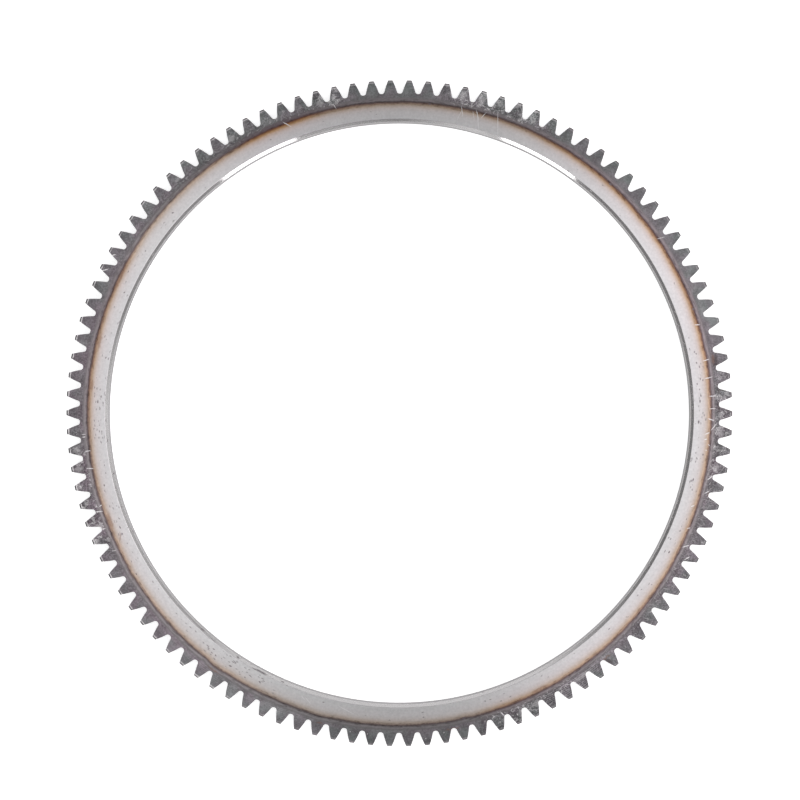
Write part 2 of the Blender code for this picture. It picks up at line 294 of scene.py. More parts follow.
# How bright the studio is in each direction, in degrees anticlockwise from +X.
LIGHT_SPAN = 4.0  # what 1 stands for in the ramps
ZENITH_LIGHT = 0.8
PANELS_START = (20.0, 42.0)  # degrees above the horizon, as the next one
PANELS_END = (76.0, 84.0)
PANEL_TINT = (1.0, 0.965, 0.98, 1.0)
HORIZON_LIGHT = (
    (0.0, 0.87), (20.0, 0.6), (45.0, 0.5), (58.0, 0.9), (75.0, 0.88), (118.0, 0.9), (132.0, 0.41),
    (150.0, 0.18), (165.0, 0.2), (180.0, 0.23), (225.0, 0.22), (245.0, 0.3), (255.0, 0.92), (270.0, 0.33),
    (285.0, 0.54), (305.0, 0.34), (320.0, 0.34), (340.0, 0.33), (352.0, 0.65), (360.0, 0.87),
)
PANEL_LIGHT = (
    (0.0, 1.8), (30.0, 2.6), (45.0, 1.7), (58.0, 0.3), (138.0, 0.3), (150.0, 1.4), (168.0, 0.8),
    (190.0, 0.35), (205.0, 0.6), (225.0, 1.05), (243.0, 1.1), (250.0, 0.3), (291.0, 0.3), (300.0, 2.0),
    (314.0, 2.5), (330.0, 1.2), (345.0, 1.8), (360.0, 1.8),
)


def length_property(name, description, default):
    """A length that a user can change, of the size of the ring's details."""
    return FloatProperty(name=name, description=description, default=default, precision=5, unit="LENGTH")


def chamfer_property(name, description, default):
    """A chamfer that a user can change, as its radial and axial lengths."""
    return FloatVectorProperty(
        name=name, description=description, default=default, size=2, precision=5, unit="LENGTH"
    )


def colour_property(name, description, default):
    """A colour that a user can change."""
    return FloatVectorProperty(name=name, description=description, default=default, subtype="COLOR")


class RingGearSizes(bpy.types.PropertyGroup):
    """Sizes of the ring, as on its drawing."""

    teeth: IntProperty(name="Teeth", description="Number of teeth", default=110, min=12)
    module: length_property("Module", "Pitch diameter per tooth", 0.003)
    pressure_angle: FloatProperty(
        name="Pressure Angle",
        description="Slope of the flank at the pitch circle",
        default=math.radians(20.0),
        subtype="ANGLE",
    )
    thinning: length_property("Thinning", "Taken off each tooth at the pitch circle for backlash", 0.0001)
    root_fillet: length_property("Root Fillet", "Radius between a flank and the root circle", 0.0013)
    face_width: length_property(
        "Face Width", "Length of the teeth along the axis", NODE_HIGH[2] - NODE_LOW[2]
    )
    rim_depth: length_property("Rim Depth", "Solid metal between the roots and the bore", 0.01425)
    front_tip_chamfer: chamfer_property(
        "Front Tip Chamfer", "Radial and axial size at the tips, front side", (0.0008, 0.0008)
    )
    rear_tip_chamfer: chamfer_property(
        "Rear Tip Chamfer",
        "Radial and axial size at the tips, where the pinion slides in",
        (0.0024, 0.0014),
    )
    front_bore_chamfer: length_property(
        "Front Bore Chamfer", "Size of the wide chamfer that leads the ring onto the flywheel", 0.0015
    )
    rear_bore_chamfer: length_property(
        "Rear Bore Chamfer", "Size of the chamfer at the bore's rear edge", 0.0006
    )
    edge_rounding: length_property("Edge Rounding", "Width of the worn rounding on every edge", 0.00014)


class RingGearFinish(bpy.types.PropertyGroup):
    """Colours and roughness of the steel."""

    bare_steel: colour_property("Bare Steel", "Turned steel", (0.62, 0.605, 0.61))
    scale_dark: colour_property("Dark Scale", "Thick scale on the teeth", (0.135, 0.129, 0.133))
    scale_light: colour_property("Light Scale", "Thin scale on the teeth", (0.305, 0.3, 0.308))
    # Painted shade: the bore wall's colour is darkened to stand for the ring's shadow on the floor, which
    # the wall reflects.
    bore_wall_painted_shade: colour_property("Bore Wall", "Duller steel of the bore", (0.265, 0.257, 0.262))
    bare_roughness: FloatProperty(name="Bare Roughness", description="Turned steel", default=0.36)
    scale_roughness: FloatProperty(name="Scale Roughness", description="Hardened teeth", default=0.58)


class RingGearStage(bpy.types.PropertyGroup):
    """Camera and lights."""

    camera_height: FloatProperty(
        name="Camera Height", description="Above the ring's front face", default=1.856, unit="LENGTH"
    )
    frame_width: FloatProperty(
        name="Frame Width", description="Seen across the front face", default=0.40344, unit="LENGTH"
    )
    camera_offset: FloatVectorProperty(
        name="Camera Offset",
        description="Where the camera looks, from the ring's centre",
        size=2,
        default=(0.00029, 0.00666),
        unit="LENGTH",
    )
    camera_roll: FloatProperty(
        name="Camera Roll", description="Turn about the line of sight", default=0.0013, subtype="ANGLE"
    )
    light_level: FloatProperty(
        name="Light Level", description="Strength of all the soft light", default=1.0
    )
    strip_power: FloatProperty(
        name="Strips", description="Power of each upright strip in watts", default=1.0
    )
    paper_glow: FloatProperty(name="Paper Glow", description="What makes the paper white", default=0.8)


class RingForm:
    """The tooth's form in the plane, worked out from the sizes."""

    def __init__(self, sizes):
        self.sizes = sizes
        self.pitch_angle = 2 * math.pi / sizes.teeth
        self.pitch_radius = sizes.module * sizes.teeth / 2
        self.base_radius = self.pitch_radius * math.cos(sizes.pressure_angle)
        self.tip_radius = self.pitch_radius + sizes.module
        self.root_radius = self.pitch_radius - DEDENDUM_PER_MODULE * sizes.module
        self.bore_radius = self.root_radius - sizes.rim_depth

    def involute(self, radius):
        angle = math.acos(self.base_radius / radius)
        return math.tan(angle) - angle

    def flank_angle(self, radius):
        """Angle from a tooth's centre line to its flank at this radius."""
        at_pitch = self.pitch_angle / 4 - self.sizes.thinning / (2 * self.pitch_radius)
        return at_pitch + self.involute(self.pitch_radius) - self.involute(radius)

    def half_tooth(self, fillet_steps, flank_steps):
        """Points from the root circle up one flank to the tip, for a tooth centred on +X."""
        fillet = self.sizes.root_fillet
        centre_radius = self.root_radius + fillet
        centre_angle = self.flank_angle(centre_radius) + fillet / self.base_radius
        reach = math.sqrt(centre_radius**2 - self.base_radius**2) - fillet
        flank_radius = math.hypot(self.base_radius, reach)
        centre = polar(centre_radius, centre_angle)
        on_flank = polar(flank_radius, self.flank_angle(flank_radius))
        start = centre_angle - math.pi
        end = math.atan2(on_flank.y - centre.y, on_flank.x - centre.x)
        points = []
        for step in range(fillet_steps + 1):
            points.append(centre + polar(fillet, start + (end - start) * step / fillet_steps))
        for step in range(1, flank_steps + 1):
            radius = flank_radius + (self.tip_radius - flank_radius) * step / flank_steps
            points.append(polar(radius, self.flank_angle(radius)))
        return points


def polar(radius, angle, height=0.0):
    return Vector((radius * math.cos(angle), radius * math.sin(angle), height))


def deselect_all():
    bpy.ops.object.select_all(action="DESELECT")


def pick(kind, test):
    """In edit mode, selects just the faces, or just the edges, that pass the test."""
    bpy.ops.mesh.select_mode(type=kind)
    mesh = bpy.context.edit_object.data
    shape = bmesh.from_edit_mesh(mesh)
    for item in shape.faces if kind == "FACE" else shape.edges:
        item.select_set(test(item))
    shape.select_flush_mode()
    bmesh.update_edit_mesh(mesh)


def draw_chain(points):
    """In edit mode, draws edges through the points, each one a vertex extruded from the last."""
    for start, end in zip(points, points[1:]):
        bpy.ops.mesh.extrude_region_move(TRANSFORM_OT_translate={"value": end - start})


def sector_outline(form, front):
    """Outline of one tooth and its share of the rim, from above, anticlockwise from the bore."""
    half_pitch = form.pitch_angle / 2
    side = form.half_tooth(fillet_steps=5, flank_steps=6)
    mirrored = [Vector((point.x, -point.y, 0.0)) for point in side]
    tip_middle = polar(form.tip_radius, 0.0)
    bore_steps = 4
    bore = [
        polar(form.bore_radius, half_pitch - form.pitch_angle * step / bore_steps)
        for step in range(bore_steps + 1)
    ]
    root_ends = polar(form.root_radius, -half_pitch), polar(form.root_radius, half_pitch)
    flat = bore + [root_ends[0]] + mirrored + [tip_middle] + side[::-1] + [root_ends[1]]
    return [Vector((point.x, point.y, front)) for point in flat]


def model_sector(form, front, rear):
    """One tooth with its share of the rim, made from a single outline."""
    half_pitch = form.pitch_angle / 2
    outline = sector_outline(form, front)
    deselect_all()
    bpy.ops.mesh.primitive_plane_add(size=MM, location=(0.0, 0.0, 0.0))
    sector = bpy.context.object
    bpy.ops.object.mode_set(mode="EDIT")
    bpy.ops.mesh.merge(type="CENTER")
    bpy.ops.transform.translate(value=outline[0])
    draw_chain(outline)
    bpy.ops.mesh.select_all(action="SELECT")
    bpy.ops.mesh.edge_face_add()
    bpy.ops.mesh.extrude_region_move(TRANSFORM_OT_translate={"value": (0.0, 0.0, rear - front)})

    def at_border(face):
        centre = face.calc_center_median()
        from_border = abs(abs(math.atan2(centre.y, centre.x)) - half_pitch)
        return abs(face.normal.z) < 1 - SEEN_AS_FLAT and from_border < half_pitch * SEAM_TOLERANCE

    bpy.ops.mesh.select_all(action="SELECT")
    bpy.ops.mesh.normals_make_consistent(inside=False)
    chamfer_tips(form, front, rear)
    pick("FACE", at_border)
    bpy.ops.mesh.delete(type="FACE")
    chamfer_bore(form, front, form.sizes.front_bore_chamfer)
    chamfer_bore(form, rear, form.sizes.rear_bore_chamfer)
    bpy.ops.object.mode_set(mode="OBJECT")
    return sector


def chamfer_tips(form, front, rear):
    """Cuts the two chamfers that were turned on the blank, over the tooth's tip."""
    for level, outwards, (radial, axial) in (
        (front, 1.0, form.sizes.front_tip_chamfer),
        (rear, -1.0, form.sizes.rear_tip_chamfer),
    ):
        bpy.ops.mesh.select_all(action="SELECT")
        bpy.ops.mesh.bisect(
            plane_co=(form.tip_radius - radial, 0.0, level),
            plane_no=Vector((axial, 0.0, outwards * radial)).normalized(),
            use_fill=True,
            clear_outer=True,
            threshold=MERGE_DISTANCE,
        )


def chamfer_bore(form, level, size):
    """Bevels the bore's edge at this level."""

    def on_bore_edge(edge):
        places = [vertex.co for vertex in edge.verts]
        on_level = all(abs(place.z - level) < MERGE_DISTANCE for place in places)
        on_bore = all(abs(place.xy.length - form.bore_radius) < MERGE_DISTANCE for place in places)
        return on_level and on_bore

    pick("EDGE", on_bore_edge)
    bpy.ops.mesh.bevel(offset=size, offset_type="OFFSET", segments=1, affect="EDGES", clamp_overlap=False)


def assign_finishes(form, sector, face_material, bore_material, flank_material):
    """Gives the flat faces, the bore and the toothed outside their own finishes."""
    for material in (face_material, bore_material, flank_material):
        sector.data.materials.append(material)
    bpy.ops.object.mode_set(mode="EDIT")

    def is_face(face):
        return abs(face.normal.z) > SEEN_AS_FLAT

    def is_bore(face):
        return not is_face(face) and face.calc_center_median().xy.length < form.bore_radius + BORE_ZONE

    def is_outside(face):
        return not is_face(face) and not is_bore(face)

    for index, test in enumerate((is_face, is_bore, is_outside)):
        pick("FACE", test)
        sector.active_material_index = index
        bpy.ops.object.material_slot_assign()
    bpy.ops.object.mode_set(mode="OBJECT")


def round_edges(width):
    """Rounds every crisp edge of the active piece by the little that deburring and handling leave."""
    bpy.ops.object.mode_set(mode="EDIT")
    bpy.ops.mesh.select_mode(type="EDGE")
    bpy.ops.mesh.select_all(action="DESELECT")
    bpy.ops.mesh.edges_select_sharp(sharpness=SHARP_ANGLE)
    bpy.ops.mesh.bevel(
        offset=width, offset_type="OFFSET", segments=2, profile=0.5, affect="EDGES", clamp_overlap=True
    )
    bpy.ops.object.mode_set(mode="OBJECT")


def repeat_round(teeth):
    """Copies the active sector round the axis, once for each tooth, and closes the seams."""
    bpy.ops.object.mode_set(mode="EDIT")
    bpy.ops.mesh.select_all(action="SELECT")
    bpy.ops.mesh.spin(
        steps=teeth - 1,
        dupli=True,
        angle=2 * math.pi * (teeth - 1) / teeth,
        center=(0.0, 0.0, 0.0),
        axis=(0.0, 0.0, 1.0),
    )
    bpy.ops.mesh.select_all(action="SELECT")
    bpy.ops.mesh.remove_doubles(threshold=MERGE_DISTANCE)
    bpy.ops.mesh.normals_make_consistent(inside=False)
    bpy.ops.object.mode_set(mode="OBJECT")


def finish_shading(ring):
    """Shades the ring smooth, with normals that follow its large faces."""
    bpy.ops.object.shade_smooth()
    weights = ring.modifiers.new("flat_faces", "WEIGHTED_NORMAL")
    weights.mode = "FACE_AREA"
    weights.weight = 100
    bpy.ops.object.modifier_apply(modifier=weights.name)


class Wiring:
    """Adds nodes to a tree from left to right. Each call returns the new node's output."""

    def __init__(self, tree):
        self.tree = tree
        self.column = 0

    def feed(self, socket, value):
        """Links another node's output to the socket, or sets the socket's own value."""
        if isinstance(value, bpy.types.NodeSocket):
            self.tree.links.new(value, socket)
        else:
            socket.default_value = value

    def node(self, kind, values=None, **settings):
        """A node with its settings, and its inputs by name or number as values or other outputs."""
        node = self.tree.nodes.new(kind)
        right, down = NODE_SPACING
        node.location = (self.column * right, -(self.column % NODE_ROWS) * down)
        self.column += 1
        for name, setting in settings.items():
            setattr(node, name, setting)
        for name, value in (values or {}).items():
            self.feed(node.inputs[name], value)
        return node

    def math(self, operation, *values):
        return self.node("ShaderNodeMath", dict(enumerate(values)), operation=operation).outputs[0]

    def vector(self, operation, *values, output="Vector"):
        values = dict(enumerate(values))
        return self.node("ShaderNodeVectorMath", values, operation=operation).outputs[output]

    def stretch(self, vector, x, y, z):
        """The vector with its parts scaled."""
        return self.vector("MULTIPLY", vector, (x, y, z))

    def turned(self, vector, angle):
        """The vector turned about Z."""
        values = {"Vector": vector, "Angle": angle}
        return self.node("ShaderNodeVectorRotate", values, rotation_type="Z_AXIS").outputs[0]

    def mix(self, factor, low, high, blend="MIX"):
        """Two colours mixed."""
        values = {0: factor, 6: low, 7: high}
        return self.node("ShaderNodeMix", values, data_type="RGBA", blend_type=blend).outputs[2]

    def tone(self, colour, amount):
        """The colour multiplied by a grey or another colour."""
        return self.mix(1.0, colour, amount, blend="MULTIPLY")

    def centred(self, value, span):
        """A value from 0 to 1 spread over the span, with the middle at 0."""
        return self.math("MULTIPLY", self.math("SUBTRACT", value, 0.5), span)

    def blend(self, factor, low, high):
        """Two numbers mixed."""
        return self.node("ShaderNodeMix", {0: factor, 2: low, 3: high}, data_type="FLOAT").outputs[0]

    def share(self, value, low, high, rise="LINEAR"):
        """How far the value is from low to high, from 0 to 1; low may be the higher one."""
        values = {"Value": value, "From Min": low, "From Max": high}
        return self.node("ShaderNodeMapRange", values, interpolation_type=rise).outputs[0]

    def step(self, value, low, high):
        """0 up to low and 1 beyond high, with a smooth rise between."""
        return self.share(value, low, high, rise="SMOOTHSTEP")

    def noise(self, vector, scale, detail=2.0, roughness=0.5, distortion=0.0):
        values = {
            "Vector": vector,
            "Scale": scale,
            "Detail": detail,
            "Roughness": roughness,
            "Distortion": distortion,
        }
        return self.node("ShaderNodeTexNoise", values).outputs[0]

    def push(self, vector, scale, x, y, z):
        """A push this way and that by a noise, with x, y and z as its whole spans."""
        push = self.node("ShaderNodeTexNoise", {"Vector": vector, "Scale": scale}).outputs["Color"]
        return self.stretch(self.vector("SUBTRACT", push, (0.5, 0.5, 0.5)), x, y, z)

    def turn(self, x, y):
        """The angle of (x, y) in degrees anticlockwise from +X, from 0 to 360."""
        angle = self.math("MULTIPLY", self.math("ARCTAN2", y, x), 180 / math.pi)
        return self.math("MODULO", self.math("ADD", angle, 360.0), 360.0)

    def unrolled(self, at, scale, reach):
        """The ring rolled out flat, as (radius, length along the turn) in mm, and pushed about a little.

        The push, up to its reach, makes marks that are drawn on it ragged.
        """
        push = self.push(at["Place"], scale, 2 * reach, 2 * reach, 0.0)
        along = self.math("MULTIPLY", at["Degrees"], MM_PER_DEGREE)
        flat = self.node("ShaderNodeCombineXYZ", {0: at["Radius"], 1: along}).outputs[0]
        return self.vector("ADD", flat, push)

    def marks(self, degrees, flat, table, edge):
        """1 inside every long mark of the table and 0 outside; the edge is the share of it that fades.

        Two ramps tell each point where the mark of its part of the ring is, and how large.
        """
        covered = 0.0
        for layer in layers(table):
            centres = []
            sizes = []
            for start, (turn, radius, length, width, lean) in zip(layer_starts(layer), layer):
                centres.append((start, (radius / RAMP_MM, turn * MM_PER_DEGREE / RAMP_MM, 0.0)))
                sizes.append((start, (length / RAMP_MM, width / RAMP_MM, lean / 360 + 0.5)))
            centre = self.ramp(degrees, centres, high=360.0, interpolation="CONSTANT")
            size = self.ramp(degrees, sizes, high=360.0, interpolation="CONSTANT")
            away = self.vector("SUBTRACT", flat, self.stretch(centre, RAMP_MM, RAMP_MM, 0.0))
            lean = self.node("ShaderNodeSeparateXYZ", {0: size}).outputs[2]
            away = self.turned(away, self.centred(lean, -2 * math.pi))
            away = self.vector("DIVIDE", away, self.stretch(size, RAMP_MM / 2, RAMP_MM / 2, 1.0))
            away = self.vector("LENGTH", away, output="Value")
            covered = self.math("MAXIMUM", self.step(away, 1 + edge / 2, 1 - edge / 2), covered)
        return covered

    def ramp(self, value, stops, low=0.0, high=1.0, interpolation="LINEAR"):
        """The colours or greys of the stops, which stand between low and high."""
        node = self.node("ShaderNodeValToRGB", {0: self.share(value, low, high)})
        ramp = node.color_ramp
        ramp.interpolation = interpolation
        while len(ramp.elements) < len(stops):
            ramp.elements.new(0.5)
        for element, (place, colour) in zip(ramp.elements, stops):
            element.position = (place - low) / (high - low)
            grey = isinstance(colour, float)
            element.color = (colour, colour, colour, 1.0) if grey else (*colour, 1.0)
        return node.outputs[0]

    def around(self, degrees, table):
        """What the table gives for this part of the ring."""
        return self.ramp(degrees, table, high=360.0)

    def group(self, tree, **values):
        """A group node, with its inputs by name; returns the node."""
        node = self.node("ShaderNodeGroup", node_tree=tree)
        for name, value in values.items():
            self.feed(node.inputs[name.replace("_", " ").title()], value)
        return node


def new_group(name, inputs, outputs):
    """An empty node group with its sockets and their kinds. Returns its wiring and its inputs."""
    tree = bpy.data.node_groups.new(name, "ShaderNodeTree")
    for in_out, sockets in (("INPUT", inputs), ("OUTPUT", outputs)):
        for label, kind in sockets.items():
            tree.interface.new_socket(name=label, in_out=in_out, socket_type="NodeSocket" + kind)
    wiring = Wiring(tree)
    return wiring, wiring.node("NodeGroupInput").outputs


def end_group(wiring, **results):
    """Leads the results to the group's outputs and returns the finished group."""
    out = wiring.node("NodeGroupOutput")
    for name, result in results.items():
        wiring.feed(out.inputs[name.replace("_", " ").title()], result)
    return wiring.tree


def reach(mark):
    """Half the mark's extent round the ring, in degrees, with some room for its ragged edge."""
    _, _, length, width, lean = mark
    lean = math.radians(lean)
    extent = abs(math.sin(lean)) * length + abs(math.cos(lean)) * width
    return extent / 2 / MM_PER_DEGREE + RAGGED_EDGE


def layers(table):
    """The marks shared out so that within each layer a ramp can tell them apart."""
    shared = []
    for mark in sorted(table):
        for layer in shared:
            gap = mark[0] - reach(mark) - layer[-1][0] - reach(layer[-1])
            if gap > RAMP_STEP and len(layer) < RAMP_STOPS:
                layer.append(mark)
                break
        else:
            shared.append([mark])
    return shared


def layer_starts(layer):
    """Where each mark's part of the ring starts, in degrees: half way from the mark before it."""
    starts = [0.0]
    for before, after in zip(layer, layer[1:]):
        middle = (before[0] + reach(before) + after[0] - reach(after)) / 2
        starts.append(middle - RAMP_STEP / 2)
    return starts


def coordinates_group():
    """Where a point is on the ring: its radius and angle, and a place that runs round with the lathe."""
    outputs = {"Radius": "Float", "Degrees": "Float", "Place": "Vector", "Swirl": "Vector"}
    w, _ = new_group("ring_coordinates", {}, outputs)
    place = w.vector("SCALE", w.node("ShaderNodeTexCoord").outputs["Object"])
    place.node.inputs["Scale"].default_value = 1 / MM
    parts = w.node("ShaderNodeSeparateXYZ", {0: place}).outputs
    flat = w.stretch(place, 1.0, 1.0, 0.0)
    radius = w.vector("LENGTH", flat, output="Value")
    degrees = w.turn(parts[0], parts[1])
    outwards = w.vector("SCALE", w.vector("NORMALIZE", flat))
    outwards.node.inputs["Scale"].default_value = SWIRL_RADIUS
    across = w.node("ShaderNodeCombineXYZ", {2: w.math("ADD", radius, parts[2])}).outputs[0]
    swirl = w.vector("ADD", outwards, across)
    return end_group(w, radius=radius, degrees=degrees, place=place, swirl=swirl)


def turning_group():
    """Lathe marks: fine rings, long along the turn and narrow across it."""
    inputs = {"Swirl": "Vector", "Spacing": "Float"}
    w, taken = new_group("lathe_marks", inputs, {"Height": "Float", "Sheen": "Float"})
    across = w.math("DIVIDE", 1.0, taken["Spacing"])
    squeeze = w.node("ShaderNodeCombineXYZ", {0: 0.03, 1: 0.03, 2: across}).outputs[0]
    fine = w.noise(w.vector("MULTIPLY", taken["Swirl"], squeeze), 1.0, detail=3.0, roughness=0.7)
    broad = w.noise(w.stretch(taken["Swirl"], 0.05, 0.05, 0.8), 1.0, detail=3.0)
    return end_group(w, height=fine, sheen=broad)


def scale_group():
    """Heat scale: mottled grey, slightly violet or green, with a crust's small bumps."""
    inputs = {"Place": "Vector", "Dark": "Color", "Light": "Color"}
    w, taken = new_group("heat_scale", inputs, {"Colour": "Color", "Height": "Float", "Thin": "Float"})
    place = taken["Place"]
    blotches = w.noise(place, 0.16, detail=3.0, roughness=0.6, distortion=0.3)
    grains = w.noise(place, 1.15, detail=3.0, roughness=0.75)
    thin = w.math("ADD", w.math("MULTIPLY", blotches, 0.5), w.math("MULTIPLY", grains, 0.5))
    thin = w.step(thin, 0.3, 0.7)
    colour = w.mix(thin, taken["Dark"], taken["Light"])
    warm = w.step(w.noise(place, 0.11, detail=2.0), 0.4, 0.6)
    colour = w.tone(colour, w.mix(warm, GREENISH_TINT, REDDISH_TINT))
    return end_group(w, colour=colour, height=grains, thin=thin)


def scratch_group():
    """Fine straight scratches in several directions, and curls where swarf was rubbed off."""
    inputs = {"Place": "Vector", "Amount": "Float", "Curls": "Float"}
    w, taken = new_group("handling_scratches", inputs, {"Mask": "Float"})
    lines = 0.0
    for turn, long, wide in SCRATCH_LINES:
        leaning = w.turned(taken["Place"], turn)
        streaks = w.noise(w.stretch(leaning, 1 / long, 1 / wide, 1 / wide), 1.0, detail=1.0)
        limit = w.blend(taken["Amount"], 0.9, 0.565)
        line = w.step(streaks, limit, w.math("ADD", limit, 0.06))
        lines = w.math("MAXIMUM", line, lines)
    winding = w.noise(taken["Place"], 0.34, detail=1.0)
    contour = w.math("ABSOLUTE", w.math("SUBTRACT", winding, 0.5))
    thread = w.step(contour, 0.02, 0.007)
    gaps = w.step(w.noise(taken["Place"], 0.5, detail=1.0), 0.42, 0.55)
    curls = w.math("MULTIPLY", w.math("MULTIPLY", thread, gaps), taken["Curls"])
    return end_group(w, mask=w.math("MAXIMUM", lines, curls))


def single_marks_group():
    """The marks of the tables: bare scratches, pits, and brown and dark stains."""
    inputs = {"Place": "Vector", "Degrees": "Float", "Radius": "Float"}
    outputs = {"Bare": "Float", "Rubbed": "Float", "Pits": "Float", "Brown": "Float", "Dark": "Float"}
    w, taken = new_group("single_marks", inputs, outputs)
    degrees = taken["Degrees"]
    frayed = w.unrolled(taken, 1.6, 0.22)
    smeared = w.unrolled(taken, 0.7, 0.9)
    return end_group(
        w,
        bare=w.marks(degrees, frayed, BARE_MARKS, edge=0.7),
        rubbed=w.marks(degrees, smeared, RUBBED_PATCHES, edge=1.2),
        pits=w.marks(degrees, frayed, PITS, edge=0.8),
        brown=w.marks(degrees, smeared, BROWN_STAINS, edge=1.0),
        dark=w.marks(degrees, smeared, DARK_STAINS, edge=1.0),
    )


def pit_group():
    """Small pits, drawn out a little along the turn."""
    w, taken = new_group("pits", {"Swirl": "Vector", "Amount": "Float"}, {"Mask": "Float"})
    push = w.push(taken["Swirl"], 1.3, 1.4, 1.4, 0.9)
    ragged = w.stretch(w.vector("ADD", taken["Swirl"], push), 0.42, 0.42, 1.0)
    cells = w.node("ShaderNodeTexVoronoi", {"Vector": ragged, "Scale": 1.0})
    chance = w.node("ShaderNodeSeparateColor", {0: cells.outputs["Color"]}).outputs[0]
    chosen = w.math("LESS_THAN", chance, taken["Amount"])
    pit = w.math("MULTIPLY", w.step(cells.outputs["Distance"], 0.36, 0.12), chosen)
    return end_group(w, mask=pit)


def new_material(name):
    """A material with its shader, and the wiring of its nodes."""
    material = bpy.data.materials.new(name)
    material.use_nodes = True
    return material, material.node_tree.nodes["Principled BSDF"], Wiring(material.node_tree)


def bump(w, height, depth, normal=None):
    """Relief of this depth in metres."""
    values = {"Height": height, "Distance": depth, "Strength": 1.0}
    if normal:
        values["Normal"] = normal
    return w.node("ShaderNodeBump", values).outputs[0]


def lathe_grain(shader, w, anisotropy):
    """The lathe's grain: highlights that spread across the marks, the same all over the surface."""
    shader.inputs["Anisotropic"].default_value = anisotropy
    shader.inputs["Anisotropic Rotation"].default_value = ACROSS_THE_GRAIN
    tangent = w.node("ShaderNodeTangent", direction_type="RADIAL", axis="Z").outputs[0]
    w.feed(shader.inputs["Tangent"], tangent)


def heat_scale(w, at, finish, groups):
    """The scale's own nodes, with the colours of the finish."""
    dark = (*finish.scale_dark, 1.0)
    light = (*finish.scale_light, 1.0)
    return w.group(groups["scale"], place=at["Place"], dark=dark, light=light).outputs


def heat_radius(w, at):
    """Radius in mm as the heat saw it: the circles of its colours waver, fray and bulge."""
    swirl = at["Swirl"]
    wander = w.centred(w.noise(w.stretch(swirl, 0.12, 0.12, 0.0), 1.0), 0.8)
    fringe = w.noise(w.stretch(swirl, 0.8, 0.8, 1.2), 1.0, detail=3.0, roughness=0.65)
    bulge = w.blend(w.around(at["Degrees"], BAND_BULGES), -1.0, 1.0)
    shift = w.math("ADD", w.math("ADD", wander, w.centred(fringe, 0.9)), bulge)
    return w.math("SUBTRACT", at["Radius"], shift)


def temper_colour(w, at, heat):
    """Bare steel, straw and brown, the dark line and the pale line outside it."""
    degrees = at["Degrees"]
    colour = w.ramp(heat, TEMPER_COLOURS, low=TEMPER_COLOURS[0][0], high=TEMPER_COLOURS[-1][0])
    # The straw's strength round the ring: partly its own, partly painted light where greyer light fell.
    richness = w.math("MULTIPLY", w.around(degrees, STRAW_RICHNESS), 2.0)
    colour = w.node("ShaderNodeHueSaturation", {"Saturation": richness, "Color": colour}).outputs[0]
    charred = w.noise(w.stretch(at["Swirl"], 0.3, 0.3, 1.4), 1.0, detail=3.0, roughness=0.6)
    in_band = w.math("MULTIPLY", w.step(heat, *BAND_START), w.step(heat, *BAND_END))
    colour = w.mix(in_band, colour, w.ramp(charred, CHARRING), blend="MULTIPLY")
    pale = w.math("MULTIPLY", w.around(degrees, FAINT_DARK_LINE), in_band)
    colour = w.tone(colour, w.blend(pale, 1.0, 1.42))
    faded = w.math("MULTIPLY", w.around(degrees, FAINT_PALE_LINE), w.step(heat, *PALE_LINE_START))
    return w.tone(colour, w.blend(faded, 1.0, 0.5))


def crust_colour(w, at, scale):
    """The scale's colour, mottled where it is scratched, with its shade and tint round the ring."""
    degrees = at["Degrees"]
    towards_tip = w.step(at["Radius"], *RIM_TO_TIP)
    colour = w.tone(scale["Colour"], w.ramp(towards_tip, TOWARDS_TIP))
    mottle = w.blend(w.step(scale["Height"], 0.42, 0.6), 0.62, 1.14)
    colour = w.mix(w.around(degrees, SCRATCHED), colour, w.tone(colour, mottle))
    shade = w.blend(w.step(at["Radius"], *TEETH_START), 0.5, w.around(degrees, TOOTH_SHADE))
    shade = w.math("MULTIPLY", w.math("MULTIPLY", shade, 4.0), w.around(degrees, SCALE_SHADE))
    tint = w.mix(w.around(degrees, SCALE_VIOLET), GREY_TINT, VIOLET_TINT)
    return w.tone(w.tone(colour, shade), tint)


def tooled(w, at, colour, sheen, scaled):
    """The colour with the cutter's lines on the scale, the lathe's sheen and a fine grain."""
    cut = w.math("SINE", w.math("MULTIPLY", at["Radius"], 2 * math.pi / CUTTER_LINE_PITCH))
    cut = w.math("MULTIPLY", w.math("MULTIPLY", cut, w.around(at["Degrees"], CUTTER_LINES)), scaled)
    colour = w.tone(colour, w.math("ADD", 1.0, w.math("MULTIPLY", cut, 0.35)))
    grain = w.centred(w.noise(at["Place"], 0.9), 0.32)
    return w.tone(colour, w.math("ADD", w.blend(sheen, 0.95, 1.05), grain))


def scratch_mask(w, at, heat, groups):
    """Fine scratches and curls, in patches and only out on the scale."""
    degrees = at["Degrees"]
    on_scale = w.step(heat, *SCRATCHES_START)
    patches = w.step(w.noise(at["Place"], 0.3, detail=2.0), 0.4, 0.58)
    amount = w.math("MULTIPLY", w.around(degrees, SCRATCHED), w.math("MULTIPLY", patches, on_scale))
    curls = w.math("MULTIPLY", w.around(degrees, CURLED), on_scale)
    return w.group(groups["scratches"], place=at["Place"], amount=amount, curls=curls).outputs["Mask"]


